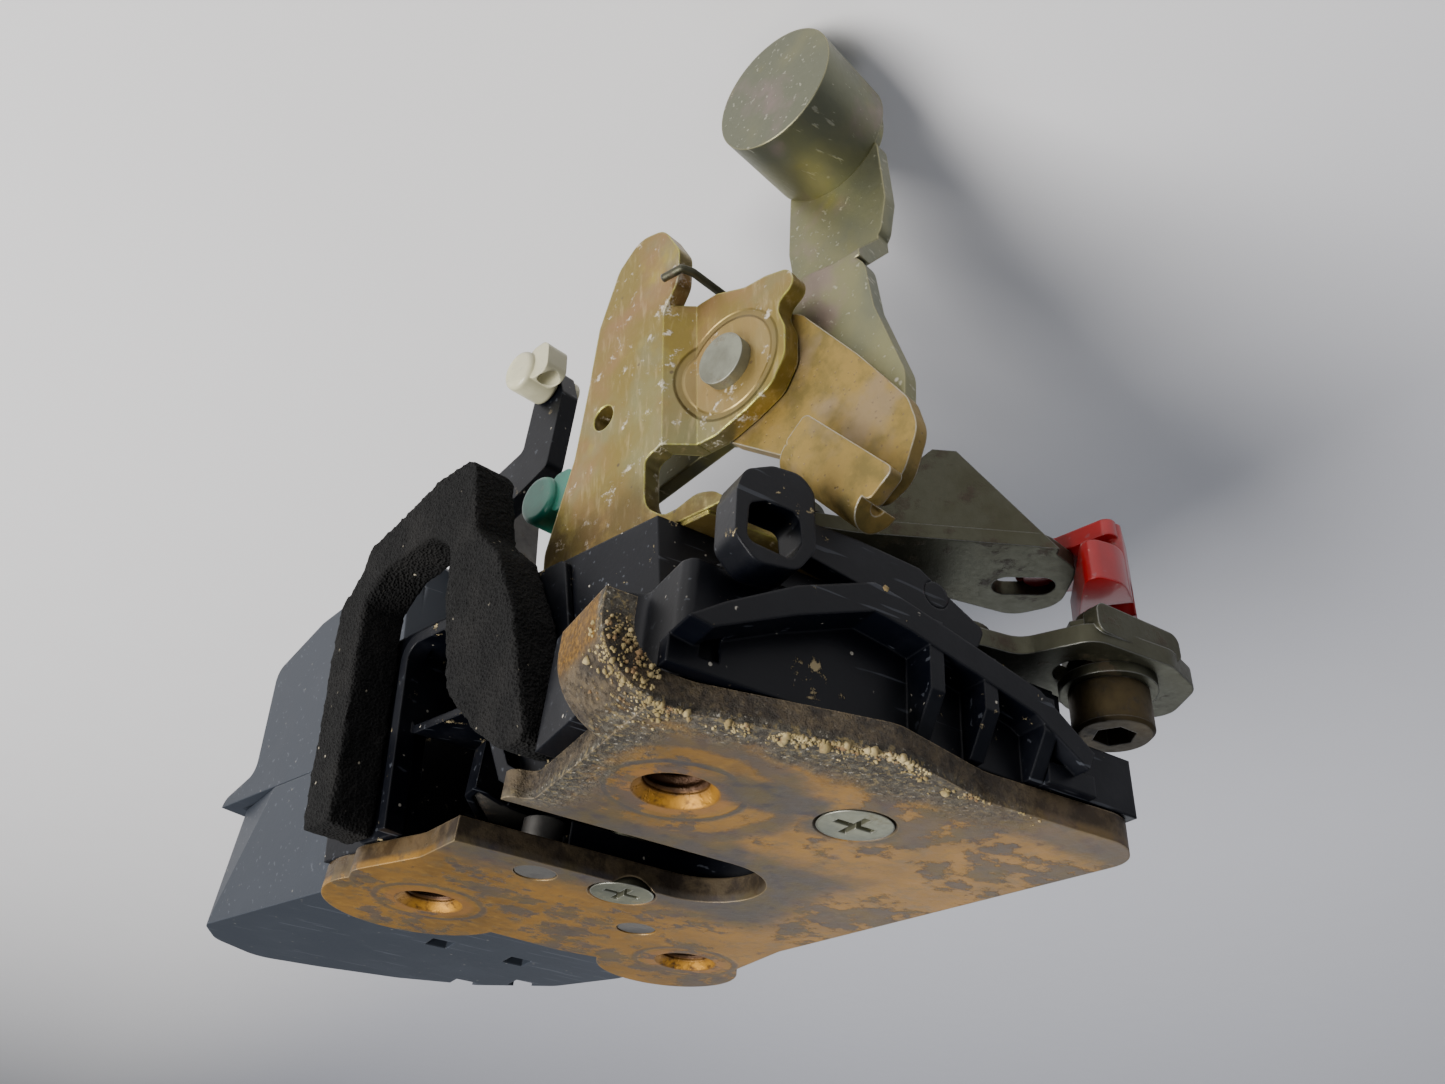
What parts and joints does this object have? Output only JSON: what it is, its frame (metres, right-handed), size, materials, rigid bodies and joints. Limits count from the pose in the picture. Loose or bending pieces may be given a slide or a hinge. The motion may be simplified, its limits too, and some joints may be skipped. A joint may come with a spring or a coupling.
{
  "type": "vehicle door latch",
  "caption": "Vehicle side door latch: a slotted face plate with threaded holes, a fork and pawl behind it, pivoted release and lock levers, and a power lock actuator.",
  "frame": {"origin": "axis of the latched striker on the face plate's outer face", "axes": "+Z out of the face plate, +X along the striker slot to its open mouth, +Y across the slot towards the power actuator"},
  "size_m": [0.0866, 0.144, 0.1006],
  "materials": {
    "yellow_zinc_plate": "worn yellow zinc",
    "yellow_zinc_bracket": "yellow zinc",
    "olive_zinc": "dull yellow zinc",
    "grey_zinc": "dull clear zinc",
    "pin_steel": "matte steel",
    "screw_zinc": "pale zinc",
    "screw_olive": "soiled steel",
    "black_plastic": "semi-gloss black nylon",
    "shelf_plastic": "black nylon",
    "slate_plastic": "satin slate grey",
    "foam": "open-pore foam",
    "bumper_rubber": "rubber",
    "green_plastic": "teal green",
    "white_plastic": "cream white",
    "red_plastic": "red",
    "gear_plastic": "natural acetal",
    "brass": "plain",
    "motor_can": "plated"
  },
  "bodies": {
    "latch_base": {"face_plate": "yellow_zinc_plate", "plate_screws": "screw_zinc", "latch_housing": "black_plastic", "side_cover": "black_plastic", "lever_shelf": "shelf_plastic", "mouth_liner": "black_plastic", "foam_seal": "foam", "lever_bracket": "yellow_zinc_bracket", "lever_rivet": "pin_steel", "lever_spring": "grey_zinc", "slotted_lever_pin": "grey_zinc", "lock_lever_pin": "black_plastic", "adjuster_pin": "grey_zinc", "fork_pivot": "pin_steel", "fork_spring": "grey_zinc", "pawl_pivot": "pin_steel", "pawl_spring": "grey_zinc", "staked_post": "pin_steel", "back_plate_rivet": "pin_steel", "striker_bumper": "bumper_rubber", "actuator_case": "slate_plastic", "actuator_cover": "slate_plastic", "actuator_screws": "screw_zinc", "gear_axle": "pin_steel", "motor": "motor_can", "output_arm_pin": "pin_steel", "connector_shell": "black_plastic", "connector_terminals": "brass"},
    "fork": {"fork": "pin_steel", "fork_cover": "black_plastic"},
    "pawl": {"pawl": "pin_steel"},
    "release_lever": {"release_lever": "yellow_zinc_bracket"},
    "counterweight_lever": {"counterweight_lever": "olive_zinc", "counterweight": "olive_zinc", "weight_rivet": "olive_zinc"},
    "green_rod_clip": {"green_rod_clip": "green_plastic"},
    "slotted_lever": {"slotted_lever": "grey_zinc"},
    "red_link_clip": {"red_link_clip": "red_plastic"},
    "lock_lever": {"lock_lever": "black_plastic"},
    "adjuster_lever": {"adjuster_lever": "grey_zinc", "adjuster_nut": "grey_zinc"},
    "adjuster_screw": {"adjuster_screw": "screw_olive", "adjuster_washer": "grey_zinc"},
    "lock_rack": {"lock_rack": "gear_plastic"},
    "output_gear": {"output_gear": "gear_plastic"},
    "motor_rotor": {"motor_pinion": "brass", "motor_shaft": "pin_steel"},
    "output_arm": {"output_arm": "black_plastic"},
    "white_rod_clip": {"white_rod_clip": "white_plastic"}
  },
  "joints": [
    {"name": "fork_turn", "type": "hinge", "parent": "latch_base", "child": "fork", "pos_m": [-0.0028, 0.0228, -0.01175], "axis": [0, 0, 1], "range_deg": [-50, 0], "stiffness_Nm_per_rad": 0.05, "springref_deg": 20.05},
    {"name": "pawl_turn", "type": "hinge", "parent": "latch_base", "child": "pawl", "pos_m": [-0.0036, -0.0255, -0.011], "axis": [0, 0, 1], "range_deg": [0, 20]},
    {"name": "release_lever_turn", "type": "hinge", "parent": "latch_base", "child": "release_lever", "pos_m": [0.01433, -0.02588, -0.05233], "axis": [0.9351, -0.322, 0.1478], "range_deg": [0, 20], "stiffness_Nm_per_rad": 0.02, "springref_deg": -20.05},
    {"name": "counterweight_lever_turn", "type": "hinge", "parent": "latch_base", "child": "counterweight_lever", "pos_m": [0.01433, -0.02588, -0.05233], "axis": [0.9351, -0.322, 0.1478], "range_deg": [-20, 0], "stiffness_Nm_per_rad": 0.06, "springref_deg": 28.65},
    {"name": "green_clip_swivel", "type": "hinge", "parent": "counterweight_lever", "child": "green_rod_clip", "pos_m": [0.02197, 0.00534, -0.04619], "axis": [0.9351, -0.322, 0.1478], "range_deg": [-30, 30]},
    {"name": "slotted_lever_turn", "type": "hinge", "parent": "latch_base", "child": "slotted_lever", "pos_m": [0.003, -0.021, -0.036], "axis": [0, 0, 1], "range_deg": [-6, 12]},
    {"name": "red_clip_swivel", "type": "hinge", "parent": "slotted_lever", "child": "red_link_clip", "pos_m": [-0.0268, -0.0307, -0.037], "axis": [0, 0, 1], "range_deg": [-12, 12]},
    {"name": "lock_lever_turn", "type": "hinge", "parent": "latch_base", "child": "lock_lever", "pos_m": [-0.0036, -0.0381, -0.0202], "axis": [0, 1, 0], "range_deg": [0, 7]},
    {"name": "adjuster_lever_turn", "type": "hinge", "parent": "latch_base", "child": "adjuster_lever", "pos_m": [-0.013, -0.0315, -0.0202], "axis": [0, 0, 1], "range_deg": [-4, 4]},
    {"name": "adjuster_screw_turn", "type": "hinge", "parent": "adjuster_lever", "child": "adjuster_screw", "pos_m": [-0.0283, -0.0376, -0.018], "axis": [0, 0, 1], "range_deg": [-180, 180]},
    {"name": "lock_rack_slide", "type": "slide", "parent": "latch_base", "child": "lock_rack", "axis": [1, 0, 0], "range_m": [-0.006, 0.006]},
    {"name": "output_gear_turn", "type": "hinge", "parent": "latch_base", "child": "output_gear", "pos_m": [0.0085, 0.062, -0.0115], "axis": [0, 0, 1], "range_deg": [-23, 23]},
    {"name": "motor_turn", "type": "hinge", "parent": "latch_base", "child": "motor_rotor", "pos_m": [0.0285, 0.062, -0.0115], "axis": [0, 0, 1], "range_deg": [-69, 69]},
    {"name": "output_arm_turn", "type": "hinge", "parent": "latch_base", "child": "output_arm", "pos_m": [0.02903, 0.03019, -0.05702], "axis": [0.9351, -0.322, 0.1478], "range_deg": [-15.2, 15.2]},
    {"name": "white_clip_swivel", "type": "hinge", "parent": "output_arm", "child": "white_rod_clip", "pos_m": [0.02862, 0.01235, -0.073], "axis": [0.9351, -0.322, 0.1478], "range_deg": [-30, 30]}
  ],
  "couplings": [
    {"joint": "output_gear_turn", "follows": "lock_rack_slide", "rad_per_m": 66.667},
    {"joint": "motor_turn", "follows": "lock_rack_slide", "rad_per_m": -200},
    {"joint": "output_arm_turn", "follows": "lock_rack_slide", "rad_per_m": 43.6}
  ]
}
